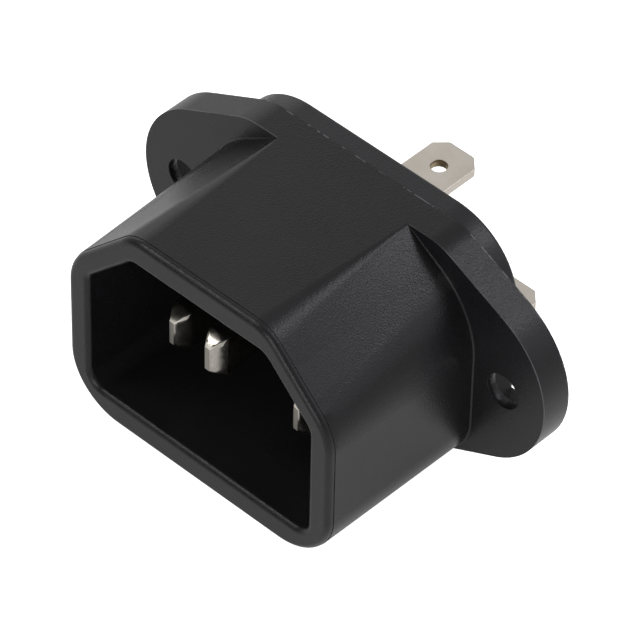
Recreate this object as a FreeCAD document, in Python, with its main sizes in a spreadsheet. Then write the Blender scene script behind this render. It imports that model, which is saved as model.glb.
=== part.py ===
"""C14 panel inlet socket: a screw-fixed appliance inlet with flat tab terminals.

The frame is in millimetres. The origin is midway between the two fixing holes, on the flange's
front face. +X runs across the inlet, -Y points out of the mating recess, +Y points towards the
wiring tabs, and +Z points to the earth side, where the recess has its two corner chamfers.
"""
import FreeCAD, Part
import math
import os
import Sketcher

Vector = FreeCAD.Vector

# Driving dimensions, in millimetres and degrees: alias, value and what it sets.
SIZES = [
    ("hole_spacing", 36.0, "distance between the two fixing holes"),
    ("hole_diameter", 3.4, "fixing hole, clear of an M3 screw"),
    ("nut_flats", 5.5, "width across the flats of the nut recess"),
    ("nut_recess_depth", 2.0, "depth of the nut recess in the back of each ear"),
    ("flange_depth", 3.0, "thickness of the flange"),
    ("flange_height", 22.5, "height of the flange between its flat edges"),
    ("flange_flat", 9.45, "half length of each flat edge of the flange"),
    ("flange_blend", 5.2, "radius between a flat edge and a sloping edge"),
    ("ear_centre", 13.7, "distance of the centre of an ear's round end from the middle"),
    ("ear_radius", 8.7, "radius of an ear's round end"),
    ("shroud_length", 16.65, "length of the shroud in front of the flange"),
    ("shroud_draft", 0.3, "mould draft of the shroud's flat sides"),
    ("wall", 2.35, "thickness of the shroud's side walls at the mouth"),
    ("top_wall", 2.7, "thickness of the shroud's top and bottom walls at the mouth"),
    ("corner_wall", 2.07, "thickness of the shroud's corner faces at the mouth"),
    ("mouth_slope", 45.0, "slope of the shroud's corner face at the mouth"),
    ("mouth_crease", 3.8, "radius between top and corner face at the mouth"),
    ("mouth_shoulder", 5.2, "radius between corner face and side at the mouth"),
    ("mouth_heel", 5.5, "radius of the shroud's lower corners at the mouth"),
    ("root_flat", 7.1, "half length of the shroud's flat top at the flange"),
    ("root_slope", 33.0, "slope of the shroud's corner face at the flange"),
    ("root_crease", 0.3, "radius between top and corner face at the flange"),
    ("root_shoulder", 8.8, "radius between corner face and side at the flange"),
    ("root_heel", 5.4, "radius of the shroud's lower corners at the flange"),
    ("lip_length", 0.7, "length of the lip round the mouth"),
    ("lip_step", 0.05, "step from the shroud down to the lip"),
    ("lip_round", 0.55, "rounding of the lip's front edge"),
    ("recess_width", 24.7, "width of the mating recess at the mouth"),
    ("recess_height", 17.0, "height of the mating recess at the mouth"),
    ("recess_depth", 17.85, "depth of the mating recess"),
    ("recess_draft", 0.5, "mould draft of the recess's sides"),
    ("recess_chamfer", 5.0, "leg of the recess's two corner chamfers"),
    ("recess_corner", 1.5, "radius of the recess's corners"),
    ("recess_edge", 0.55, "rounding of the recess's front edge"),
    ("boss_height", 2.0, "height of the rear boss behind the flange"),
    ("boss_half_width", 15.0, "half width of the rear boss"),
    ("boss_corner", 6.8, "radius of the rear boss's corners"),
    ("boss_edge", 0.4, "rounding of the rear boss's back edge"),
    ("pin_pitch", 14.0, "distance between the line and the neutral pin"),
    ("pin_drop", 2.0, "height of the line and neutral pins below the middle"),
    ("pin_rise", 2.0, "height of the earth pin above the middle"),
    ("pin_thickness", 2.0, "thickness of a blade pin, across"),
    ("pin_height", 4.0, "height of a blade pin"),
    ("live_tip", 4.2, "distance of the line and neutral tips behind the mouth"),
    ("earth_tip", 1.2, "distance of the earth tip behind the mouth"),
    ("bevel_length", 1.4, "length of the bevels at a blade's tip"),
    ("tip_thickness", 0.45, "thickness of a blade's tip"),
    ("tip_height", 2.35, "height of a blade's tip"),
    ("bevel_crown", 0.08, "how far the bevels bulge out half way along"),
    ("stem_thickness", 1.4, "thickness of a blade's rivet stem"),
    ("stem_height", 2.0, "height of a blade's rivet stem"),
    ("rivet_height", 0.7, "height of the rivet head behind the terminal"),
    ("rivet_overlap", 0.3, "how far the rivet head stands out round its stem"),
    ("seat_depth", 0.4, "depth of a terminal's seat in the boss"),
    ("seat_clearance", 0.1, "gap round a terminal in its seat"),
    ("stem_clearance", 0.05, "gap round a rivet stem in its terminal"),
    ("tab_width", 4.8, "width of a terminal and its tab"),
    ("tab_thickness", 0.8, "thickness of a terminal's sheet"),
    ("earth_tab_reach", 14.65, "distance of the earth tab's tip behind the flange's front face"),
    ("live_tab_reach", 15.1, "distance of the line and neutral tabs' tips behind the flange's front face"),
    ("tab_chamfer", 1.15, "leg of the chamfers at a tab's tip"),
    ("tab_lead", 0.15, "bevel of a tab's faces at its tip"),
    ("tab_hole", 1.45, "diameter of the detent hole in a tab"),
    ("tab_hole_set", 2.9, "distance of the detent hole from the tab's tip"),
    ("bend_radius", 0.5, "inside radius of a terminal's bend"),
    ("foot_margin", 2.5, "length of a terminal's foot beyond the middle of its pin"),
    ("earth_tab_rise", 2.8, "height of the earth tab above the middle of its pin"),
    ("live_tab_drop", 4.0, "height of the line and neutral tabs below their pins"),
]

# The three poles: place of the pin, distance of its tip behind the mouth, the tab's height from the pin,
# its reach, and the side of the pin that the tab is bent to (1 is up).
POLES = [
    dict(name="earth", across="0", up="Sizes.pin_rise", tip="Sizes.earth_tip",
         offset="Sizes.earth_tab_rise", reach="Sizes.earth_tab_reach", side=1),
    dict(name="line", across="Sizes.pin_pitch / 2", up="-Sizes.pin_drop", tip="Sizes.live_tip",
         offset="Sizes.live_tab_drop", reach="Sizes.live_tab_reach", side=-1),
    dict(name="neutral", across="-Sizes.pin_pitch / 2", up="-Sizes.pin_drop", tip="Sizes.live_tip",
         offset="Sizes.live_tab_drop", reach="Sizes.live_tab_reach", side=-1),
]

BACK_OF_BOSS = "Sizes.flange_depth + Sizes.boss_height"
BACK_OF_SEAT = "Sizes.flange_depth + Sizes.boss_height - Sizes.seat_depth"

# Half length of the shroud's flat top at the mouth: it ends where the corner face, a wall's thickness
# outside the recess's, meets the crease.
MOUTH_FLAT = (
    "Sizes.recess_width / 2 - Sizes.recess_chamfer + (Sizes.corner_wall"
    " - Sizes.top_wall * cos(Sizes.mouth_slope) - Sizes.mouth_crease * (1 - cos(Sizes.mouth_slope)))"
    " / sin(Sizes.mouth_slope)"
)

# Places of a sketch curve's points, and of the sketch's origin and axes, in constraints.
START, END, CENTRE = range(1, 4)
X_AXIS, Y_AXIS = range(-1, -3, -1)
ORIGIN_POINT = (X_AXIS, START)

# How closely an edge has to lie in a plane to count as lying in it, in millimetres.
TOLERANCE = 1e-3

# The recess's corner faces slope at 45 degrees, so each corner arc turns through half a right angle.
RECESS_SLOPE = "45"
HALF_TURN = "22.5"

doc = FreeCAD.newDocument("c14_panel_inlet")
sheet = doc.addObject("Spreadsheet::Sheet", "Sizes")
for row, (alias, value, meaning) in enumerate(SIZES, start=1):
    sheet.set(f"A{row}", meaning)
    sheet.set(f"B{row}", str(value))
    sheet.setAlias(f"B{row}", alias)
doc.recompute()


def number(expression):
    """The value of an expression of the sheet's sizes."""
    result = sheet.evalExpression(expression)
    return float(getattr(result, "Value", result))


def new_body(name):
    body = doc.addObject("PartDesign::Body", name)
    body.Label = name
    return body


def plane(body, role):
    """One of the body's own origin planes."""
    return next(item for item in body.Origin.OriginFeatures if item.Role == role)


def new_sketch(body, name, role="XZ_Plane", lift="0", across="0", up="0"):
    """A sketch on an origin plane, lifted along its normal and shifted within it."""
    sketch = body.newObject("Sketcher::SketchObject", name)
    sketch.AttachmentSupport = [(plane(body, role), "")]
    sketch.MapMode = "FlatFace"
    sketch.setExpression("AttachmentOffset.Base.x", across)
    sketch.setExpression("AttachmentOffset.Base.y", up)
    sketch.setExpression("AttachmentOffset.Base.z", lift)
    return sketch


def bind(sketch, kind, *where, size):
    """A dimension of the sketch that follows an expression."""
    index = sketch.addConstraint(Sketcher.Constraint(kind, *where, number(size)))
    sketch.setExpression(f"Constraints[{index}]", size)


def bind_angle(sketch, line, size):
    radians = math.radians(number(size))
    index = sketch.addConstraint(Sketcher.Constraint("Angle", line, radians))
    sketch.setExpression(f"Constraints[{index}]", size)


def add_line(sketch, start, end):
    return sketch.addGeometry(Part.LineSegment(Vector(*start, 0), Vector(*end, 0)), False)


def add_arc(sketch, centre, radius, first, last):
    circle = Part.Circle(Vector(*centre, 0), Vector(0, 0, 1), radius)
    arc = Part.ArcOfCircle(circle, math.radians(first), math.radians(last))
    return sketch.addGeometry(arc, False)


def chain(sketch, kind, joints):
    """Join pairs of ends: each joint is (curve, end, curve, end)."""
    for joint in joints:
        sketch.addConstraint(Sketcher.Constraint(kind, *joint))


def shell_section(body, name, lift, width, top, bottom, flat, slope, crease, shoulder, heel):
    """The inlet's six-sided outline: flat top, sloping corner faces, straight sides, flat bottom.

    All sizes are expressions. The corners are arcs, each tangent to both of its sides.
    """
    sketch = new_sketch(body, name, lift=lift)
    w, high, low, level, angle = (number(size) for size in (width, top, bottom, flat, slope))
    r_crease, r_shoulder, r_heel = (number(size) for size in (crease, shoulder, heel))
    sine, cosine = math.sin(math.radians(angle)), math.cos(math.radians(angle))
    crease_x = level + r_crease * sine
    crease_z = high - r_crease * (1 - cosine)
    shoulder_x = w - r_shoulder * (1 - sine)
    shoulder_z = crease_z - (shoulder_x - crease_x) * sine / cosine
    centre_z = shoulder_z - r_shoulder * cosine

    top_line = add_line(sketch, (-level, high), (level, high))
    bottom_line = add_line(sketch, (w - r_heel, -low), (r_heel - w, -low))
    right_crease = add_arc(sketch, (level, high - r_crease), r_crease, 90 - angle, 90)
    right_slope = add_line(sketch, (crease_x, crease_z), (shoulder_x, shoulder_z))
    right_shoulder = add_arc(sketch, (w - r_shoulder, centre_z), r_shoulder, 0, 90 - angle)
    right_side = add_line(sketch, (w, centre_z), (w, r_heel - low))
    right_heel = add_arc(sketch, (w - r_heel, r_heel - low), r_heel, -90, 0)
    left_heel = add_arc(sketch, (r_heel - w, r_heel - low), r_heel, 180, 270)
    left_side = add_line(sketch, (-w, r_heel - low), (-w, centre_z))
    left_shoulder = add_arc(sketch, (r_shoulder - w, centre_z), r_shoulder, 90 + angle, 180)
    left_slope = add_line(sketch, (-shoulder_x, shoulder_z), (-crease_x, crease_z))
    left_crease = add_arc(sketch, (-level, high - r_crease), r_crease, 90, 90 + angle)

    chain(sketch, "Tangent", [
        (top_line, END, right_crease, END),
        (right_crease, START, right_slope, START),
        (right_slope, END, right_shoulder, END),
        (right_shoulder, START, right_side, START),
        (right_side, END, right_heel, END),
        (right_heel, START, bottom_line, START),
        (bottom_line, END, left_heel, END),
        (left_heel, START, left_side, START),
        (left_side, END, left_shoulder, END),
        (left_shoulder, START, left_slope, START),
        (left_slope, END, left_crease, END),
        (left_crease, START, top_line, START),
    ])
    sketch.addConstraint(Sketcher.Constraint("Symmetric", top_line, START, top_line, END, Y_AXIS))
    sketch.addConstraint(Sketcher.Constraint("Horizontal", bottom_line))
    sketch.addConstraint(Sketcher.Constraint("Vertical", right_side))
    sketch.addConstraint(Sketcher.Constraint("Vertical", left_side))
    pairs = ((right_crease, left_crease), (right_shoulder, left_shoulder), (right_heel, left_heel))
    for right, left in pairs:
        sketch.addConstraint(Sketcher.Constraint("Equal", right, left))
    bind(sketch, "DistanceX", *ORIGIN_POINT, top_line, END, size=flat)
    bind(sketch, "DistanceY", *ORIGIN_POINT, top_line, END, size=top)
    bind(sketch, "DistanceX", *ORIGIN_POINT, right_side, START, size=width)
    bind(sketch, "DistanceX", left_side, START, *ORIGIN_POINT, size=width)
    bind(sketch, "DistanceY", bottom_line, START, *ORIGIN_POINT, size=bottom)
    bind(sketch, "Radius", right_crease, size=crease)
    bind(sketch, "Radius", right_shoulder, size=shoulder)
    bind(sketch, "Radius", right_heel, size=heel)
    bind_angle(sketch, right_slope, f"-({slope})")
    bind_angle(sketch, left_slope, slope)
    return sketch


def rectangle(body, name, width, height, lift="0", across="0", up="0"):
    """A rectangle centred on the sketch's own origin."""
    sketch = new_sketch(body, name, lift=lift, across=across, up=up)
    x, z = number(width) / 2, number(height) / 2
    corners = [(-x, -z), (x, -z), (x, z), (-x, z)]
    sides = [add_line(sketch, corners[i], corners[(i + 1) % 4]) for i in range(4)]
    chain(sketch, "Coincident", [(sides[i], END, sides[(i + 1) % 4], START) for i in range(4)])
    for kind, side in zip(("Horizontal", "Vertical", "Horizontal", "Vertical"), sides):
        sketch.addConstraint(Sketcher.Constraint(kind, side))
    opposite_corners = (sides[0], START, sides[2], START)
    sketch.addConstraint(Sketcher.Constraint("Symmetric", *opposite_corners, *ORIGIN_POINT))
    bind(sketch, "DistanceX", sides[0], START, sides[0], END, size=width)
    bind(sketch, "DistanceY", sides[1], START, sides[1], END, size=height)
    return sketch


def circle(body, name, diameter, role="XZ_Plane", lift="0", across="0", up="0"):
    """A circle centred on the sketch's own origin."""
    sketch = new_sketch(body, name, role=role, lift=lift, across=across, up=up)
    outline = Part.Circle(Vector(0, 0, 0), Vector(0, 0, 1), number(diameter) / 2)
    ring = sketch.addGeometry(outline, False)
    sketch.addConstraint(Sketcher.Constraint("Coincident", ring, CENTRE, *ORIGIN_POINT))
    bind(sketch, "Diameter", ring, size=diameter)
    return sketch


def pad(body, sketch, length, backwards=False):
    feature = body.newObject("PartDesign::Pad", sketch.Name + "_pad")
    feature.Profile = sketch
    feature.setExpression("Length", length)
    feature.Reversed = backwards
    feature.Refine = True
    doc.recompute()
    return feature


def pocket(body, sketch, depth=None, forwards=False):
    """Cut a sketch's outline away, all the way through if no depth is given; it has to cut something."""
    before = body.Shape.Volume
    feature = body.newObject("PartDesign::Pocket", sketch.Name + "_cut")
    feature.Profile = sketch
    feature.Reversed = forwards
    if depth is None:
        feature.Type = "ThroughAll"
    else:
        feature.setExpression("Length", depth)
    doc.recompute()
    if not body.Shape.Volume < before:
        raise RuntimeError(f"{feature.Name} cuts nothing")
    return feature


def loft(body, kind, sections, ruled=True):
    feature = body.newObject(kind, sections[0].Name + "_loft")
    feature.Profile = sections[0]
    feature.Sections = sections[1:]
    feature.Ruled = ruled
    doc.recompute()
    return feature


def edge_names(shape, wanted):
    """Names of the shape's edges that a test accepts."""
    return [f"Edge{i}" for i, edge in enumerate(shape.Edges, start=1) if wanted(edge)]


def soften(body, radius, wanted, name, kind="PartDesign::Fillet", key="Radius"):
    """Round or bevel the body's edges that a test accepts."""
    base = body.Tip
    names = edge_names(base.Shape, wanted)
    feature = body.newObject(kind, name)
    feature.Base = (base, names)
    feature.setExpression(key, radius)
    doc.recompute()
    return feature


def lies_at(edge, axis, place):
    """Whether an edge lies in a plane square to an axis."""
    box = edge.BoundBox
    low, high = getattr(box, axis + "Min"), getattr(box, axis + "Max")
    return abs(low - place) < TOLERANCE and abs(high - place) < TOLERANCE


def spans_less(edge, axis, reach):
    """Whether an edge stays within a distance of the middle, on both sides."""
    box = edge.BoundBox
    return getattr(box, axis + "Max") < reach and -getattr(box, axis + "Min") < reach


def flange_outline(body, name):
    """Two flat edges and two round ears, joined by sloping edges that are tangent to both."""
    sketch = new_sketch(body, name)
    high, level = number("Sizes.flange_height / 2"), number("Sizes.flange_flat")
    blend, middle, ear = (number(f"Sizes.{size}") for size in ("flange_blend", "ear_centre", "ear_radius"))
    # The sloping edge touches both circles from outside, so its angle follows from their centres.
    run, drop = middle - level, high - blend
    angle = math.degrees(math.atan2(drop, run) - math.asin((ear - blend) / math.hypot(run, drop)))
    sine, cosine = math.sin(math.radians(angle)), math.cos(math.radians(angle))
    blend_x, blend_z = level + blend * sine, high - blend + blend * cosine
    ear_x, ear_z = middle + ear * sine, ear * cosine

    top_line = add_line(sketch, (-level, high), (level, high))
    bottom_line = add_line(sketch, (level, -high), (-level, -high))
    top_right = add_arc(sketch, (level, high - blend), blend, 90 - angle, 90)
    slope_1 = add_line(sketch, (blend_x, blend_z), (ear_x, ear_z))
    ear_right = add_arc(sketch, (middle, 0), ear, angle - 90, 90 - angle)
    slope_2 = add_line(sketch, (ear_x, -ear_z), (blend_x, -blend_z))
    low_right = add_arc(sketch, (level, blend - high), blend, -90, angle - 90)
    low_left = add_arc(sketch, (-level, blend - high), blend, 270 - angle, 270)
    slope_3 = add_line(sketch, (-blend_x, -blend_z), (-ear_x, -ear_z))
    ear_left = add_arc(sketch, (-middle, 0), ear, 90 + angle, 270 - angle)
    slope_4 = add_line(sketch, (-ear_x, ear_z), (-blend_x, blend_z))
    top_left = add_arc(sketch, (-level, high - blend), blend, 90, 90 + angle)
    chain(sketch, "Tangent", [
        (top_line, END, top_right, END),
        (top_right, START, slope_1, START),
        (slope_1, END, ear_right, END),
        (ear_right, START, slope_2, START),
        (slope_2, END, low_right, END),
        (low_right, START, bottom_line, START),
        (bottom_line, END, low_left, END),
        (low_left, START, slope_3, START),
        (slope_3, END, ear_left, END),
        (ear_left, START, slope_4, START),
        (slope_4, END, top_left, END),
        (top_left, START, top_line, START),
    ])
    for line in (top_line, bottom_line):
        sketch.addConstraint(Sketcher.Constraint("Symmetric", line, START, line, END, Y_AXIS))
    for arc in (low_right, low_left, top_left):
        sketch.addConstraint(Sketcher.Constraint("Equal", top_right, arc))
    sketch.addConstraint(Sketcher.Constraint("Equal", ear_right, ear_left))
    for ear_arc in (ear_right, ear_left):
        sketch.addConstraint(Sketcher.Constraint("PointOnObject", ear_arc, CENTRE, X_AXIS))
    bind(sketch, "DistanceX", *ORIGIN_POINT, ear_right, CENTRE, size="Sizes.ear_centre")
    bind(sketch, "DistanceX", ear_left, CENTRE, *ORIGIN_POINT, size="Sizes.ear_centre")
    bind(sketch, "Radius", ear_right, size="Sizes.ear_radius")
    bind(sketch, "Radius", top_right, size="Sizes.flange_blend")
    bind(sketch, "DistanceY", *ORIGIN_POINT, top_line, END, size="Sizes.flange_height / 2")
    bind(sketch, "DistanceY", bottom_line, START, *ORIGIN_POINT, size="Sizes.flange_height / 2")
    bind(sketch, "DistanceX", *ORIGIN_POINT, top_line, END, size="Sizes.flange_flat")
    bind(sketch, "DistanceX", *ORIGIN_POINT, bottom_line, START, size="Sizes.flange_flat")
    return sketch


def rounded_rectangle(body, name, lift, half_width, half_height, corner):
    """A rectangle with round corners, centred on the origin."""
    sketch = new_sketch(body, name, lift=lift)
    w, z, r = number(half_width), number(half_height), number(corner)
    sides = [
        add_line(sketch, (r - w, -z), (w - r, -z)),
        add_line(sketch, (w, r - z), (w, z - r)),
        add_line(sketch, (w - r, z), (r - w, z)),
        add_line(sketch, (-w, z - r), (-w, r - z)),
    ]
    arcs = [
        add_arc(sketch, (w - r, r - z), r, -90, 0),
        add_arc(sketch, (w - r, z - r), r, 0, 90),
        add_arc(sketch, (r - w, z - r), r, 90, 180),
        add_arc(sketch, (r - w, r - z), r, 180, 270),
    ]
    joints = []
    for i in range(4):
        joints.append((sides[i], END, arcs[i], START))
        joints.append((arcs[i], END, sides[(i + 1) % 4], START))
    chain(sketch, "Tangent", joints)
    for kind, side in zip(("Horizontal", "Vertical", "Horizontal", "Vertical"), sides):
        sketch.addConstraint(Sketcher.Constraint(kind, side))
    for arc in arcs[1:]:
        sketch.addConstraint(Sketcher.Constraint("Equal", arcs[0], arc))
    bind(sketch, "Radius", arcs[0], size=corner)
    bind(sketch, "DistanceX", *ORIGIN_POINT, sides[1], START, size=half_width)
    bind(sketch, "DistanceX", sides[3], START, *ORIGIN_POINT, size=half_width)
    bind(sketch, "DistanceY", *ORIGIN_POINT, sides[2], START, size=half_height)
    bind(sketch, "DistanceY", sides[0], START, *ORIGIN_POINT, size=half_height)
    return sketch


def make_housing():
    """Shroud, flange and rear boss, moulded in one, with the mating recess and the pins' slots."""
    body = new_body("housing")

    pad(body, flange_outline(body, "flange"), "Sizes.flange_depth", backwards=True)

    half_width = "Sizes.recess_width / 2 + Sizes.wall"
    half_height = "Sizes.recess_height / 2 + Sizes.top_wall"
    root = shell_section(
        body, "root", "0",
        width=f"{half_width} + Sizes.shroud_length * tan(Sizes.shroud_draft)",
        top="Sizes.flange_height / 2", bottom="Sizes.flange_height / 2",
        flat="Sizes.root_flat", slope="Sizes.root_slope",
        crease="Sizes.root_crease", shoulder="Sizes.root_shoulder", heel="Sizes.root_heel")
    mouth = shell_section(
        body, "mouth", "Sizes.shroud_length - Sizes.lip_length",
        width=half_width, top=half_height, bottom=half_height,
        flat=MOUTH_FLAT, slope="Sizes.mouth_slope",
        crease="Sizes.mouth_crease", shoulder="Sizes.mouth_shoulder", heel="Sizes.mouth_heel")
    loft(body, "PartDesign::AdditiveLoft", [mouth, root])
    lip = shell_section(
        body, "lip", "Sizes.shroud_length - Sizes.lip_length",
        width=f"{half_width} - Sizes.lip_step",
        top=f"{half_height} - Sizes.lip_step", bottom=f"{half_height} - Sizes.lip_step",
        flat=MOUTH_FLAT, slope="Sizes.mouth_slope", crease="Sizes.mouth_crease - Sizes.lip_step",
        shoulder="Sizes.mouth_shoulder - Sizes.lip_step", heel="Sizes.mouth_heel - Sizes.lip_step")
    pad(body, lip, "Sizes.lip_length")
    mouth_y = -number("Sizes.shroud_length")
    soften(body, "Sizes.lip_round", lambda edge: lies_at(edge, "Y", mouth_y), "lip_front_edge")

    boss = rounded_rectangle(
        body, "boss", "-Sizes.flange_depth", "Sizes.boss_half_width", "Sizes.flange_height / 2",
        "Sizes.boss_corner")
    pad(body, boss, "Sizes.boss_height", backwards=True)
    boss_y = number(BACK_OF_BOSS)
    soften(body, "Sizes.boss_edge", lambda edge: lies_at(edge, "Y", boss_y), "boss_back_edge")

    corner_flat = f"Sizes.recess_chamfer + Sizes.recess_corner * tan({HALF_TURN})"
    rim = shell_section(
        body, "recess", "Sizes.shroud_length",
        width="Sizes.recess_width / 2", top="Sizes.recess_height / 2", bottom="Sizes.recess_height / 2",
        flat=f"Sizes.recess_width / 2 - ({corner_flat})", slope=RECESS_SLOPE,
        crease="Sizes.recess_corner", shoulder="Sizes.recess_corner", heel="Sizes.recess_corner")
    inset = "Sizes.recess_depth * tan(Sizes.recess_draft)"
    floor = shell_section(
        body, "recess_floor", "Sizes.shroud_length - Sizes.recess_depth",
        width=f"Sizes.recess_width / 2 - {inset}",
        top=f"Sizes.recess_height / 2 - {inset}", bottom=f"Sizes.recess_height / 2 - {inset}",
        flat=f"Sizes.recess_width / 2 - {inset} - ({corner_flat})", slope=RECESS_SLOPE,
        crease="Sizes.recess_corner", shoulder="Sizes.recess_corner", heel="Sizes.recess_corner")
    loft(body, "PartDesign::SubtractiveLoft", [rim, floor])
    rim_reach = number("Sizes.recess_width / 2") + TOLERANCE
    soften(body, "Sizes.recess_edge",
           lambda edge: lies_at(edge, "Y", mouth_y) and spans_less(edge, "X", rim_reach),
           "recess_front_edge")

    for pole in POLES:
        slot = rectangle(body, pole["name"] + "_slot", "Sizes.pin_thickness", "Sizes.pin_height",
                         lift=f"-({BACK_OF_BOSS})", across=pole["across"], up=pole["up"])
        pocket(body, slot, forwards=True)
        foot = f"({pole['offset']} + Sizes.tab_thickness / 2 + Sizes.foot_margin)"
        middle = f"{pole['up']} + {pole['side']} * ({foot} / 2 - Sizes.foot_margin)"
        seat = rectangle(body, pole["name"] + "_seat", "Sizes.tab_width + 2 * Sizes.seat_clearance",
                         f"{foot} + 2 * Sizes.seat_clearance",
                         lift=f"-({BACK_OF_BOSS})", across=pole["across"], up=middle)
        pocket(body, seat, depth="Sizes.seat_depth", forwards=True)

    for name, side in (("right", 1), ("left", -1)):
        place = f"{side} * Sizes.hole_spacing / 2"
        hole = circle(body, f"{name}_hole", "Sizes.hole_diameter",
                      lift="-Sizes.flange_depth", across=place)
        pocket(body, hole, forwards=True)
        recess = body.newObject("PartDesign::SubtractivePrism", f"{name}_nut_recess")
        recess.AttachmentSupport = [(plane(body, "XZ_Plane"), "")]
        recess.MapMode = "FlatFace"
        recess.setExpression("AttachmentOffset.Base.x", place)
        recess.setExpression("AttachmentOffset.Base.z", "-Sizes.flange_depth")
        recess.Polygon = 6
        recess.setExpression("Circumradius", "Sizes.nut_flats / 2 / cos(30)")
        recess.setExpression("Height", "Sizes.nut_recess_depth")
        doc.recompute()
    return body


def make_pin(pole):
    """A flat blade with four bevels at its tip and a rivet stem that holds the terminal."""
    name = pole["name"]
    body = new_body(f"{name}_pin")
    body.setExpression("Placement.Base.x", pole["across"])
    body.setExpression("Placement.Base.z", pole["up"])
    front = f"Sizes.shroud_length - {pole['tip']} - Sizes.bevel_length"
    blade = rectangle(body, f"{name}_blade", "Sizes.pin_thickness", "Sizes.pin_height",
                      lift=f"-({BACK_OF_SEAT})")
    pad(body, blade, f"{front} + {BACK_OF_SEAT}")
    shoulder = rectangle(body, f"{name}_shoulder", "Sizes.pin_thickness", "Sizes.pin_height", lift=front)
    crown = rectangle(body, f"{name}_crown",
                      "(Sizes.pin_thickness + Sizes.tip_thickness) / 2 + 2 * Sizes.bevel_crown",
                      "(Sizes.pin_height + Sizes.tip_height) / 2 + 2 * Sizes.bevel_crown",
                      lift=f"{front} + Sizes.bevel_length / 2")
    point = rectangle(body, f"{name}_tip", "Sizes.tip_thickness", "Sizes.tip_height",
                      lift=f"{front} + Sizes.bevel_length")
    loft(body, "PartDesign::AdditiveLoft", [shoulder, crown, point], ruled=False)
    stem = rectangle(body, f"{name}_stem", "Sizes.stem_thickness", "Sizes.stem_height",
                     lift=f"-({BACK_OF_SEAT})")
    pad(body, stem, "Sizes.tab_thickness", backwards=True)
    head = rectangle(body, f"{name}_rivet", "Sizes.stem_thickness + 2 * Sizes.rivet_overlap",
                     "Sizes.stem_height + 2 * Sizes.rivet_overlap",
                     lift=f"-({BACK_OF_SEAT} + Sizes.tab_thickness)")
    pad(body, head, "Sizes.rivet_height", backwards=True)
    return body


def terminal_profile(body, name, outer_face, far_end):
    """The strip's edge view: a foot along the boss, a bend, and the tab behind it.

    The sizes are expressions: the height of the tab's outer face and the place of its tip.
    """
    sketch = new_sketch(body, name, role="YZ_Plane")
    t, r, foot = number("Sizes.tab_thickness"), number("Sizes.bend_radius"), number("Sizes.foot_margin")
    high, far = number(outer_face), number(far_end)
    centre = (t + r, high - t - r)
    foot_outer = add_line(sketch, (0, centre[1]), (0, -foot))
    foot_end = add_line(sketch, (0, -foot), (t, -foot))
    foot_inner = add_line(sketch, (t, -foot), (t, centre[1]))
    inner_bend = add_arc(sketch, centre, r, 90, 180)
    tab_inner = add_line(sketch, (centre[0], high - t), (far, high - t))
    tab_tip = add_line(sketch, (far, high - t), (far, high))
    tab_outer = add_line(sketch, (far, high), (centre[0], high))
    outer_bend = add_arc(sketch, centre, r + t, 90, 180)
    chain(sketch, "Tangent", [
        (foot_inner, END, inner_bend, END),
        (inner_bend, START, tab_inner, START),
        (tab_outer, END, outer_bend, START),
        (outer_bend, END, foot_outer, START),
    ])
    chain(sketch, "Coincident", [
        (foot_outer, END, foot_end, START),
        (foot_end, END, foot_inner, START),
        (tab_inner, END, tab_tip, START),
        (tab_tip, END, tab_outer, START),
        (inner_bend, CENTRE, outer_bend, CENTRE),
    ])
    for line in (foot_outer, foot_inner, tab_tip):
        sketch.addConstraint(Sketcher.Constraint("Vertical", line))
    for line in (foot_end, tab_inner, tab_outer):
        sketch.addConstraint(Sketcher.Constraint("Horizontal", line))
    sketch.addConstraint(Sketcher.Constraint("PointOnObject", foot_outer, END, Y_AXIS))
    bind(sketch, "DistanceY", foot_end, START, *ORIGIN_POINT, size="Sizes.foot_margin")
    bind(sketch, "DistanceX", foot_end, START, foot_end, END, size="Sizes.tab_thickness")
    bind(sketch, "Radius", inner_bend, size="Sizes.bend_radius")
    bind(sketch, "DistanceY", *ORIGIN_POINT, tab_outer, START, size=outer_face)
    bind(sketch, "DistanceX", *ORIGIN_POINT, tab_outer, START, size=far_end)
    return sketch


def make_terminal(pole):
    """A flat tab and its foot, stamped and bent from one strip; the foot sits on the pin's stem."""
    name = pole["name"]
    body = new_body(f"{name}_terminal")
    outer_face = f"{pole['offset']} + Sizes.tab_thickness / 2"
    far_end = f"{pole['reach']} - ({BACK_OF_SEAT})"
    strip = pad(body, terminal_profile(body, f"{name}_strip", outer_face, far_end), "Sizes.tab_width")
    strip.Midplane = True
    doc.recompute()

    tip, side = number(far_end), number("Sizes.tab_width / 2")
    soften(body, "Sizes.tab_chamfer",
           lambda edge: lies_at(edge, "Y", tip) and (lies_at(edge, "X", side) or lies_at(edge, "X", -side)),
           f"{name}_tab_corners", kind="PartDesign::Chamfer", key="Size")
    soften(body, "Sizes.tab_lead",
           lambda edge: lies_at(edge, "Y", tip) and edge.BoundBox.XLength > TOLERANCE,
           f"{name}_tab_lead", kind="PartDesign::Chamfer", key="Size")
    hole = circle(body, f"{name}_tab_hole", "Sizes.tab_hole", role="XY_Plane",
                  lift=outer_face, up=f"{far_end} - Sizes.tab_hole_set")
    pocket(body, hole, depth="Sizes.tab_thickness")
    slot = rectangle(body, f"{name}_stem_slot", "Sizes.stem_thickness + 2 * Sizes.stem_clearance",
                     "Sizes.stem_height + 2 * Sizes.stem_clearance")
    pocket(body, slot, depth="Sizes.tab_thickness")

    body.setExpression("Placement.Base.x", pole["across"])
    body.setExpression("Placement.Base.y", BACK_OF_SEAT)
    body.setExpression("Placement.Base.z", pole["up"])
    # The line and neutral terminals are turned over, so that their tabs lie below their pins.
    body.Placement.Rotation = FreeCAD.Rotation(Vector(0, 1, 0), 0 if pole["side"] > 0 else 180)
    doc.recompute()
    return body


nodes = [make_housing()]
for pole in POLES:
    nodes += [make_pin(pole), make_terminal(pole)]
doc.recompute()

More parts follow.
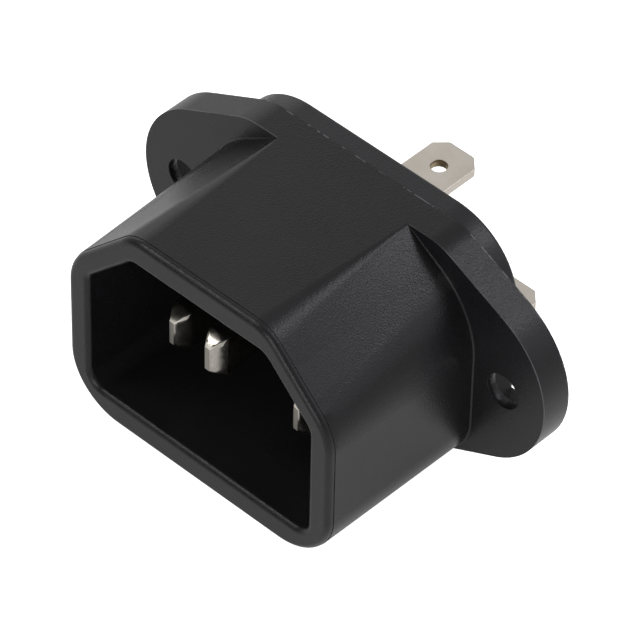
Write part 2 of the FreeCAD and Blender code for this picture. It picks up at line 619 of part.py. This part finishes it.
for item in doc.Objects:
    if "Invalid" in item.State or "Error" in item.State:
        raise RuntimeError(f"{item.Name} failed: {item.State}")
    if item.TypeId == "Sketcher::SketchObject" and not item.FullyConstrained:
        raise RuntimeError(f"{item.Name} is not fully constrained")

os.makedirs("parts", exist_ok=True)
for node in nodes:
    shape = node.Shape
    if shape.isNull() or not shape.isValid() or len(shape.Solids) != 1:
        raise RuntimeError(f"{node.Label} is not one sound solid")
    shape.exportStep(f"parts/{node.Label}.step")
    box = shape.BoundBox
    print(f"{node.Label}: {shape.Volume:.2f} mm3, x {box.XMin:.2f} {box.XMax:.2f}, "
          f"y {box.YMin:.2f} {box.YMax:.2f}, z {box.ZMin:.2f} {box.ZMax:.2f}")
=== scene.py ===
import math

import bmesh
import bpy
from mathutils import Matrix, Vector


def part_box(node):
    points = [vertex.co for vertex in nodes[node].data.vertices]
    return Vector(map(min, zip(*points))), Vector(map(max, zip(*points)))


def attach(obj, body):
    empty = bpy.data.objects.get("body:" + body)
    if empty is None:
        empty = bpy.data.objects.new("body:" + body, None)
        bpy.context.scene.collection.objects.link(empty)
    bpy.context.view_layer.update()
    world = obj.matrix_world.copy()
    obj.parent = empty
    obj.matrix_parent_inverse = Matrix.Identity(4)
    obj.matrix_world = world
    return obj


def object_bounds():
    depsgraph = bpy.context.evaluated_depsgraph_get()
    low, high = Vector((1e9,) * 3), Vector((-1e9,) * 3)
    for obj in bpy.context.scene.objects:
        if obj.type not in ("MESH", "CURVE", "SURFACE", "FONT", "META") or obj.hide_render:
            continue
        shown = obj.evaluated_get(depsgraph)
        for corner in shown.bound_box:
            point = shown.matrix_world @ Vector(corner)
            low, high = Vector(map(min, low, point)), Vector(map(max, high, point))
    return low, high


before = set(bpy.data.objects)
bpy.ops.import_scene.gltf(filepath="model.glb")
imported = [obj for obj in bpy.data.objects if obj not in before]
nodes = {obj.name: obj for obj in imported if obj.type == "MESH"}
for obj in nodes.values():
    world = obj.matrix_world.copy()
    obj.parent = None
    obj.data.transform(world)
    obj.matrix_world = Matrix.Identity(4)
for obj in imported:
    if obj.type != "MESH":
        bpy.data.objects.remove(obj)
cad_low, cad_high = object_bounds()

MM = 0.001
centre = (cad_low + cad_high) / 2
PLASTIC_NODES = ("housing",)
BLADE_NODES = ("earth_pin", "line_pin", "neutral_pin")
TAB_NODES = ("earth_terminal", "line_terminal", "neutral_terminal")

# Places that the materials follow. Y = 0 is the flange's front face, and Y grows towards the back.
MOUTH = cad_low.y
RECESS_WIDTH, RECESS_HEIGHT, RECESS_FLOOR = 24.7 * MM, 17.0 * MM, 1.2 * MM
PARTING = 3.0 * MM    # the mould's parting plane: the back of the flange
EAR_START = 7.3 * MM    # how far out the bare front edge of the ears begins
POLE_ACROSS = (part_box("line_pin")[0].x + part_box("line_pin")[1].x) / 2
EARTH_TIP, LIVE_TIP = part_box("earth_pin")[0].y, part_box("line_pin")[0].y
HOLE_SET = 2.9 * MM    # from a tab's tip to its detent hole
EARTH_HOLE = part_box("earth_terminal")[1].y - HOLE_SET
LIVE_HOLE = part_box("line_terminal")[1].y - HOLE_SET


# ---------------------------------------------------------------- edges of the carried-over nodes

HOUSING_EDGE, BLADE_EDGE, TAB_EDGE = 0.07 * MM, 0.035 * MM, 0.08 * MM


def soften(obj, width, segments, angle=30.0, clamp=False):
    """Shades a node smooth and rounds its sharp edges a little.

    With the clamp, Blender narrows the bevel wherever it would meet another. On the housing that holds it
    to about 0.001 mm. Without the clamp it spikes at the shroud's cusps and passes the CAD's box there.
    """
    for polygon in obj.data.polygons:
        polygon.use_smooth = True
    weld = obj.modifiers.new("weld", "WELD")
    weld.merge_threshold = 0.001 * MM
    planar = obj.modifiers.new("flat_faces", "DECIMATE")
    planar.decimate_type = "DISSOLVE"
    planar.angle_limit = math.radians(0.2)
    bevel = obj.modifiers.new("edge_round", "BEVEL")
    bevel.width = width
    bevel.segments = segments
    bevel.limit_method = "ANGLE"
    bevel.angle_limit = math.radians(angle)
    bevel.use_clamp_overlap = clamp
    bevel.harden_normals = True
    bevel.miter_outer = "MITER_ARC"
    normal = obj.modifiers.new("flat_shading", "WEIGHTED_NORMAL")
    normal.keep_sharp = True
    normal.weight = 80


for name in PLASTIC_NODES:
    soften(nodes[name], HOUSING_EDGE, 2, clamp=True)
for name in BLADE_NODES:
    soften(nodes[name], BLADE_EDGE, 1, angle=20.0)
for name in TAB_NODES:
    soften(nodes[name], TAB_EDGE, 2)


# ---------------------------------------------------------------- materials

PLASTIC_DARK, PLASTIC_LIGHT = (0.0075, 0.0075, 0.0085, 1.0), (0.0115, 0.0115, 0.0130, 1.0)
# Painted light: the plastic behind the parting plane and inside the recess is painted paler than the rest.
PLASTIC_BEHIND_PAINTED_LIGHT, PLASTIC_RECESS_PAINTED_LIGHT = (0.028, 0.028, 0.031, 1.0), (0.014, 0.014, 0.015, 1.0)
# Painted highlights: the pale lines on the parting plane's flash and along the ears' front edge.
PLASTIC_FLASH_HIGHLIGHT, PLASTIC_EDGE_HIGHLIGHT = (0.13, 0.13, 0.14, 1.0), (0.12, 0.12, 0.125, 1.0)
BLADE_DARK, BLADE_LIGHT = (0.40, 0.372, 0.328, 1.0), (0.52, 0.492, 0.447, 1.0)
BLADE_SHEARED = (0.30, 0.285, 0.255, 1.0)
TAB_DARK, TAB_LIGHT = (0.60, 0.55, 0.485, 1.0), (0.69, 0.645, 0.58, 1.0)
TAB_BRASS = (0.36, 0.295, 0.195, 1.0)

# A band's two stretches: the one where it rises from 0 to 1, and the one where it falls back to 0. The two
# bands below place painted highlights.
FLASH_HIGHLIGHT_BAND = (0.02 * MM, 0.04 * MM), (0.10 * MM, 0.13 * MM)    # in front of the parting plane
EDGE_HIGHLIGHT_BAND = (0.01 * MM, 0.03 * MM), (0.09 * MM, 0.12 * MM)    # behind the flange's front face


class Surface:
    """A material on one principled shader, with a short way to write its nodes.

    Its textures follow the object's own coordinates in metres, so a scale of 1000 gives a grain of 1 mm.
    """

    def __init__(self, name):
        self.material = bpy.data.materials.new(name)
        self.material.use_nodes = True
        self.tree = self.material.node_tree
        self.tree.nodes.clear()
        output = self.add("ShaderNodeOutputMaterial")
        self.shader = self.add("ShaderNodeBsdfPrincipled")
        self.link(self.shader.outputs[0], output.inputs["Surface"])
        self.place = self.add("ShaderNodeTexCoord").outputs["Object"]

    def add(self, kind, **settings):
        node = self.tree.nodes.new(kind)
        for key, value in settings.items():
            setattr(node, key, value)
        return node

    def link(self, source, target):
        self.tree.links.new(source, target)

    def put(self, value, socket):
        """Gives a socket its value, which is a number, a colour or another node's output."""
        if hasattr(value, "is_linked"):
            self.link(value, socket)
        else:
            socket.default_value = value

    def axis(self, name):
        node = self.add("ShaderNodeSeparateXYZ")
        self.link(self.place, node.inputs[0])
        return node.outputs[name]

    def stretched(self, x, y, z):
        node = self.add("ShaderNodeMapping")
        node.inputs["Scale"].default_value = (x, y, z)
        self.link(self.place, node.inputs["Vector"])
        return node.outputs[0]

    def noise(self, scale, detail=2.0, roughness=0.5, vector=None):
        node = self.add("ShaderNodeTexNoise")
        node.inputs["Scale"].default_value = scale
        node.inputs["Detail"].default_value = detail
        node.inputs["Roughness"].default_value = roughness
        self.link(vector or self.place, node.inputs["Vector"])
        return node.outputs["Fac"]

    def voronoi(self, scale):
        node = self.add("ShaderNodeTexVoronoi")
        node.inputs["Scale"].default_value = scale
        self.link(self.place, node.inputs["Vector"])
        return node.outputs["Distance"]

    def math(self, operation, *values):
        node = self.add("ShaderNodeMath", operation=operation)
        for value, socket in zip(values, node.inputs):
            self.put(value, socket)
        return node.outputs[0]

    def sum(self, first, second):
        return self.math("ADD", first, second)

    def difference(self, first, second):
        return self.math("SUBTRACT", first, second)

    def product(self, first, *others):
        for other in others:
            first = self.math("MULTIPLY", first, other)
        return first

    def size(self, value):
        return self.math("ABSOLUTE", value)

    def length(self, across, along):
        return self.math("SQRT", self.sum(self.product(across, across), self.product(along, along)))

    def spread(self, value, low, high, to_low=0.0, to_high=1.0, smooth=False):
        """to_low where the value is low, to_high where it is high, and in between on the way."""
        node = self.add("ShaderNodeMapRange", interpolation_type="SMOOTHSTEP" if smooth else "LINEAR")
        limits = {"From Min": low, "From Max": high, "To Min": to_low, "To Max": to_high}
        for key, number in limits.items():
            node.inputs[key].default_value = number
        self.link(value, node.inputs["Value"])
        return node.outputs[0]

    def fall(self, value, low, high):
        return self.spread(value, low, high, 1.0, 0.0)

    def band(self, value, rising, falling):
        return self.product(self.spread(value, *rising), self.fall(value, *falling))

    def blend(self, share, first, second):
        node = self.add("ShaderNodeMix", data_type="RGBA")
        self.put(share, node.inputs["Factor"])
        self.put(first, node.inputs["A"])
        self.put(second, node.inputs["B"])
        return node.outputs["Result"]

    def bump(self, height, distance, strength):
        node = self.add("ShaderNodeBump")
        node.inputs["Distance"].default_value = distance
        node.inputs["Strength"].default_value = strength
        self.link(height, node.inputs["Height"])
        self.link(node.outputs["Normal"], self.shader.inputs["Normal"])

    def colour(self, source):
        self.link(source, self.shader.inputs["Base Color"])

    def roughness(self, source):
        self.link(source, self.shader.inputs["Roughness"])


def recess_painted_light(skin):
    """1 on the walls and the floor of the mating recess, from a little behind its mouth, and 0 elsewhere;
    there the plastic is painted paler, as painted light.
    """
    y = skin.axis("Y")
    return skin.product(
        skin.fall(skin.size(skin.axis("X")), RECESS_WIDTH / 2 - 0.10 * MM, RECESS_WIDTH / 2 + 0.05 * MM),
        skin.fall(skin.size(skin.axis("Z")), RECESS_HEIGHT / 2 - 0.10 * MM, RECESS_HEIGHT / 2 + 0.05 * MM),
        skin.spread(y, MOUTH + 0.15 * MM, MOUTH + 1.15 * MM),
        skin.math("LESS_THAN", y, RECESS_FLOOR + 0.3 * MM))


def parting_flash_highlight(skin):
    """1 on the broken line of flash along the upper half of the parting plane, which is painted pale as a
    highlight, and 0 elsewhere.
    """
    line = skin.band(skin.difference(PARTING, skin.axis("Y")), *FLASH_HIGHLIGHT_BAND)
    broken = skin.spread(skin.noise(650.0, detail=3.0, roughness=0.7), 0.50, 0.56)
    return skin.product(line, broken, skin.math("GREATER_THAN", skin.axis("Z"), 0.0))


def edge_highlight(skin, cloud):
    """1 where a painted highlight runs along the ears' front edge, above their middle, and 0 elsewhere."""
    edge = skin.product(skin.band(skin.axis("Y"), *EDGE_HIGHLIGHT_BAND), skin.spread(cloud, 0.35, 0.6))
    on_ear = skin.math("GREATER_THAN", skin.size(skin.axis("X")), EAR_START)
    return skin.product(edge, on_ear, skin.spread(skin.axis("Z"), -1.5 * MM, 0.5 * MM))


def black_plastic():
    """Black moulding with a fine spark-eroded grain, painted a little paler behind the parting plane and in
    the recess as painted light, with painted highlights on the flash and the ears' front edge.
    """
    skin = Surface("housing_black")
    grain = skin.noise(7500.0, roughness=0.6)
    pits = skin.voronoi(6200.0)
    cloud = skin.noise(160.0, detail=3.0)
    streak = skin.noise(90.0, vector=skin.stretched(1.0, 0.12, 1.0))
    skin.bump(skin.sum(skin.product(grain, 0.7), skin.product(pits, 0.5)), 0.023 * MM, 0.9)
    tone = skin.sum(skin.product(cloud, 0.6), skin.product(grain, 0.4))
    front = skin.blend(skin.spread(tone, 0.35, 0.65), PLASTIC_DARK, PLASTIC_LIGHT)
    # Painted light: the plastic behind the parting plane is painted paler.
    behind = skin.spread(skin.axis("Y"), PARTING - 0.05 * MM, PARTING + 0.05 * MM)
    colour = skin.blend(skin.product(behind, 0.5), front, PLASTIC_BEHIND_PAINTED_LIGHT)
    # Painted light: the walls and floor of the recess are painted paler.
    colour = skin.blend(recess_painted_light(skin), colour, PLASTIC_RECESS_PAINTED_LIGHT)
    # Painted highlight: a pale broken line on the flash along the parting plane.
    colour = skin.blend(parting_flash_highlight(skin), colour, PLASTIC_FLASH_HIGHLIGHT)
    # Painted highlight: a pale line along the ears' front edge, above their middle.
    skin.colour(skin.blend(edge_highlight(skin, cloud), colour, PLASTIC_EDGE_HIGHLIGHT))
    rough = skin.sum(skin.product(cloud, 0.5), skin.product(streak, 0.5))
    skin.roughness(skin.spread(rough, 0.3, 0.7, 0.25, 0.31))
    skin.shader.inputs["IOR"].default_value = 1.42
    skin.shader.inputs["Specular IOR Level"].default_value = 0.43
    return skin.material


def blade_nickel():
    """Nickel plate on a milled brass blade: bright and faintly mottled, duller on the sheared tip."""
    skin = Surface("blade_nickel")
    grain = skin.noise(1500.0, detail=3.0, roughness=0.6)
    fine = skin.noise(5200.0)
    skin.bump(skin.sum(grain, skin.product(fine, 0.4)), 0.006 * MM, 0.35)
    plate = skin.blend(skin.spread(grain, 0.35, 0.65), BLADE_DARK, BLADE_LIGHT)
    live = skin.math("GREATER_THAN", skin.size(skin.axis("X")), POLE_ACROSS / 2)
    tip = skin.sum(EARTH_TIP, skin.product(live, LIVE_TIP - EARTH_TIP))
    sheared = skin.fall(skin.difference(skin.axis("Y"), tip), 0.02 * MM, 0.06 * MM)
    skin.colour(skin.blend(sheared, plate, BLADE_SHEARED))
    skin.roughness(skin.sum(skin.spread(grain, 0.3, 0.7, 0.18, 0.26), skin.product(sheared, 0.2)))
    skin.shader.inputs["Metallic"].default_value = 1.0
    return skin.material


def tab_nickel():
    """Dull nickel on a stamped strip: warm grey and faintly clouded, with brass bare in the punched hole."""
    skin = Surface("tab_nickel")
    cloud = skin.noise(420.0, detail=4.0, roughness=0.6)
    grain = skin.noise(4200.0, detail=3.0)
    skin.bump(skin.sum(grain, skin.product(cloud, 0.8)), 0.004 * MM, 0.5)
    plate = skin.blend(skin.spread(cloud, 0.3, 0.7), TAB_DARK, TAB_LIGHT)
    x, y = skin.axis("X"), skin.axis("Y")
    from_earth = skin.length(x, skin.difference(y, EARTH_HOLE))
    from_live = skin.length(skin.difference(skin.size(x), POLE_ACROSS), skin.difference(y, LIVE_HOLE))
    punched = skin.fall(skin.math("MINIMUM", from_earth, from_live), 0.74 * MM, 0.79 * MM)
    skin.colour(skin.blend(punched, plate, TAB_BRASS))
    skin.roughness(skin.spread(cloud, 0.3, 0.7, 0.36, 0.46))
    skin.shader.inputs["Metallic"].default_value = 1.0
    return skin.material


def paint(names, material):
    for name in names:
        mesh = nodes[name].data
        mesh.materials.clear()
        mesh.materials.append(material)


housing_black = black_plastic()
paint(PLASTIC_NODES, housing_black)
paint(BLADE_NODES, blade_nickel())
paint(TAB_NODES, tab_nickel())


# ---------------------------------------------------------------- the cove along the shroud's root

COVE_RADIUS = 0.11 * MM
COVE_GROWTH = 0.05    # how fast the cove grows from each end of its chain
COVE_END = 0.004 * MM    # its size at the ends
COVE_SINK = 0.02 * MM    # how deep it is set into the flange and the shroud
COVE_STEPS = 5
ON_FACE = 0.001 * MM    # a corner this close to Y = 0 lies on the flange's front face
CLEAR_OF_FACE = 0.1 * MM    # a face that reaches this far forward belongs to the shroud


def add_object(name, data):
    obj = bpy.data.objects.new(name, data)
    bpy.context.scene.collection.objects.link(obj)
    return obj


def root_chains(mesh):
    """The lines on the flange's front face where the shroud's sides rise from it: right side, left side."""
    flat, rising = set(), set()
    places = [tuple(round(c, 7) for c in v.co) for v in mesh.vertices]
    for polygon in mesh.polygons:
        corners = [places[i] for i in polygon.vertices]
        level = all(abs(y) < ON_FACE for x, y, z in corners)
        forward = min(y for x, y, z in corners) < -CLEAR_OF_FACE
        for a, b in zip(corners, corners[1:] + corners[:1]):
            if abs(a[1]) < ON_FACE and abs(b[1]) < ON_FACE:
                if level:
                    flat.add(frozenset((a, b)))
                elif forward:
                    rising.add(frozenset((a, b)))
    for side in (1.0, -1.0):
        points = {point for edge in rising & flat for point in edge if point[0] * side > 0}
        yield side, sorted(points, key=lambda point: -point[2])


def cove_section(reach):
    """(across, along Y) of the cove's section: a concave quarter arc, closed by a strip that is sunk in."""
    turns = [step / COVE_STEPS * math.pi / 2 for step in range(COVE_STEPS + 1)]
    arc = [(reach * (1 - math.cos(turn)), reach * (math.sin(turn) - 1)) for turn in turns]
    return arc + [(reach, COVE_SINK), (-COVE_SINK, COVE_SINK), (-COVE_SINK, -reach)]


def cove_rings(side, chain):
    """The section at each point of the chain. It thins out at both ends and stays within the CAD's box."""
    travel = [0.0]
    for point, following in zip(chain, chain[1:]):
        travel.append(travel[-1] + math.dist(point, following))
    for i, point in enumerate(chain):
        before, after = chain[max(i - 1, 0)], chain[min(i + 1, len(chain) - 1)]
        along = Vector((after[0] - before[0], 0.0, after[2] - before[2])).normalized()
        out = Vector((-along.z, 0.0, along.x))
        if out.x * side < 0:
            out = -out
        from_end = min(travel[i], travel[-1] - travel[i])
        section = cove_section(min(COVE_RADIUS, COVE_GROWTH * from_end + COVE_END))
        ring = [Vector(point) + out * across + Vector((0.0, depth, 0.0)) for across, depth in section]
        for corner in ring:
            corner.z = min(max(corner.z, cad_low.z), cad_high.z)
        yield ring


def cove(name, side, chain):
    """A small concave fillet along a chain of points."""
    builder = bmesh.new()
    rings = [[builder.verts.new(corner) for corner in ring] for ring in cove_rings(side, chain)]
    for ring, following in zip(rings, rings[1:]):
        for k in range(len(ring)):
            turn = (k + 1) % len(ring)
            builder.faces.new((ring[k], ring[turn], following[turn], following[k]))
    builder.faces.new(rings[0])
    builder.faces.new(rings[-1])
    bmesh.ops.recalc_face_normals(builder, faces=builder.faces)
    mesh = bpy.data.meshes.new(name)
    builder.to_mesh(mesh)
    builder.free()
    for polygon in mesh.polygons:
        polygon.use_smooth = True
    mesh.materials.append(housing_black)
    piece = add_object(name, mesh)
    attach(piece, "root")


for side, chain in root_chains(nodes["housing"].data):
    cove("root_cove_right" if side > 0 else "root_cove_left", side, chain)


# ---------------------------------------------------------------- studio

WHITE, COOL = (1.0, 1.0, 1.0), (0.97, 0.97, 1.04)
FLOOR_HALF = 2.0
FLOOR_DARK, FLOOR_LIGHT = (0.88, 0.88, 0.88, 1.0), (0.90, 0.90, 0.90, 1.0)
GLOW_NEAR, GLOW_FAR = 0.33, 0.03    # what the floor gives off near the object and further out
GLOW_START, GLOW_END = 20.0 * MM, 58.0 * MM    # the stretch over which it fades
GLOW_RIGHT, GLOW_BACK = 8.0 * MM, 6.0 * MM    # the middle of the bright patch
GLOW_SEEN = 0.9    # what it gives off besides, as the camera sees it
SKY_FRONT, SKY_BACK = 0.06, 0.55    # the world's strength in front of the object and behind it
SKY_START, SKY_END = -0.9, 0.2    # the Y of the directions between which it changes


def white_floor(height):
    """A white table top that shows as plain white and lights the object more softly, fading further out."""
    mesh = bpy.data.meshes.new("floor")
    corners = [(x * FLOOR_HALF, y * FLOOR_HALF, height) for x, y in ((-1, -1), (1, -1), (1, 1), (-1, 1))]
    mesh.from_pydata(corners, [], [(0, 1, 2, 3)])
    floor = add_object("floor", mesh)
    skin = Surface("floor_white")
    white = skin.blend(skin.noise(6.0), FLOOR_DARK, FLOOR_LIGHT)
    skin.colour(white)
    skin.link(white, skin.shader.inputs["Emission Color"])
    across = skin.difference(skin.axis("X"), GLOW_RIGHT)
    along = skin.difference(skin.axis("Y"), GLOW_BACK)
    glow = skin.spread(skin.length(across, along), GLOW_START, GLOW_END, GLOW_NEAR, GLOW_FAR, smooth=True)
    seen = skin.product(skin.add("ShaderNodeLightPath").outputs["Is Camera Ray"], GLOW_SEEN)
    skin.link(skin.sum(glow, seen), skin.shader.inputs["Emission Strength"])
    skin.shader.inputs["Roughness"].default_value = 0.9
    skin.shader.inputs["Specular IOR Level"].default_value = 0.1
    mesh.materials.append(skin.material)


def studio_world():
    """A white tent, dim in front of the object and brighter over it and behind it."""
    world = bpy.data.worlds.new("studio")
    world.use_nodes = True
    tree = world.node_tree
    background = tree.nodes["Background"]
    background.inputs["Color"].default_value = (1.0, 1.0, 1.0, 1.0)
    direction = tree.nodes.new("ShaderNodeTexCoord")
    split = tree.nodes.new("ShaderNodeSeparateXYZ")
    ramp = tree.nodes.new("ShaderNodeMapRange")
    ramp.interpolation_type = "SMOOTHSTEP"
    limits = {"From Min": SKY_START, "From Max": SKY_END, "To Min": SKY_FRONT, "To Max": SKY_BACK}
    for key, value in limits.items():
        ramp.inputs[key].default_value = value
    tree.links.new(direction.outputs["Generated"], split.inputs[0])
    tree.links.new(split.outputs["Y"], ramp.inputs["Value"])
    tree.links.new(ramp.outputs[0], background.inputs["Strength"])
    bpy.context.scene.world = world


def soft_box(name, offset, side, watts, colour=WHITE):
    """A square soft box at an offset from the object's middle, in metres, turned towards it."""
    light = bpy.data.lights.new(name, "AREA")
    light.shape = "RECTANGLE"
    light.size, light.size_y = side, side
    light.energy = watts
    light.color = colour
    place = centre + Vector(offset)
    lamp = add_object(name, light)
    lamp.location = place
    lamp.rotation_mode = "QUATERNION"
    lamp.rotation_quaternion = (centre - place).to_track_quat("-Z", "Y")


white_floor(cad_low.z)
studio_world()
soft_box("key", (0.326, 0.359, 0.490), 0.17, 0.40, COOL)
soft_box("slope_fill", (0.483, 0.359, 0.331), 0.35, 0.22, COOL)
soft_box("rim_top", (0.190, 0.360, 0.557), 0.12, 0.24, COOL)
soft_box("front_top", (-0.36, -0.27, 0.60), 0.20, 0.65)
soft_box("front_right", (0.20, -0.55, 0.22), 0.40, 1.3)
soft_box("front_left", (-0.336, -0.49, 0.364), 0.30, 0.35)
soft_box("left_back", (-0.52, 0.365, 0.295), 0.40, 0.30)


# ---------------------------------------------------------------- camera

AZIMUTH, ELEVATION, ROLL = 42.796, 44.281, 1.272    # degrees
DISTANCE = 0.42175    # metres from the part's origin
LENS, SENSOR = 290.39, 36.0    # millimetres, as Blender takes them
NEAR, FAR = 0.01, 10.0    # metres
SHIFT_RIGHT, SHIFT_UP = 1.5895 * MM, 3.1113 * MM    # how far off the picture's middle the origin shows


def photo_camera():
    """The photo's own view, from above and to the right of the object's front."""
    azimuth, elevation, roll = (math.radians(angle) for angle in (AZIMUTH, ELEVATION, ROLL))
    back = Vector((math.sin(azimuth) * math.cos(elevation), -math.cos(azimuth) * math.cos(elevation),
                   math.sin(elevation)))
    level = Vector((math.cos(azimuth), math.sin(azimuth), 0.0))
    upright = back.cross(level)
    right = level * math.cos(roll) + upright * math.sin(roll)
    up = upright * math.cos(roll) - level * math.sin(roll)
    place = back * DISTANCE - right * SHIFT_RIGHT - up * SHIFT_UP
    data = bpy.data.cameras.new("camera")
    data.sensor_width = SENSOR
    data.lens = LENS
    data.clip_start, data.clip_end = NEAR, FAR
    camera = add_object("camera", data)
    camera.matrix_world = Matrix((
        (right.x, up.x, back.x, place.x),
        (right.y, up.y, back.y, place.y),
        (right.z, up.z, back.z, place.z),
        (0.0, 0.0, 0.0, 1.0)))
    bpy.context.scene.camera = camera


photo_camera()
bpy.context.scene.view_settings.view_transform = "Standard"
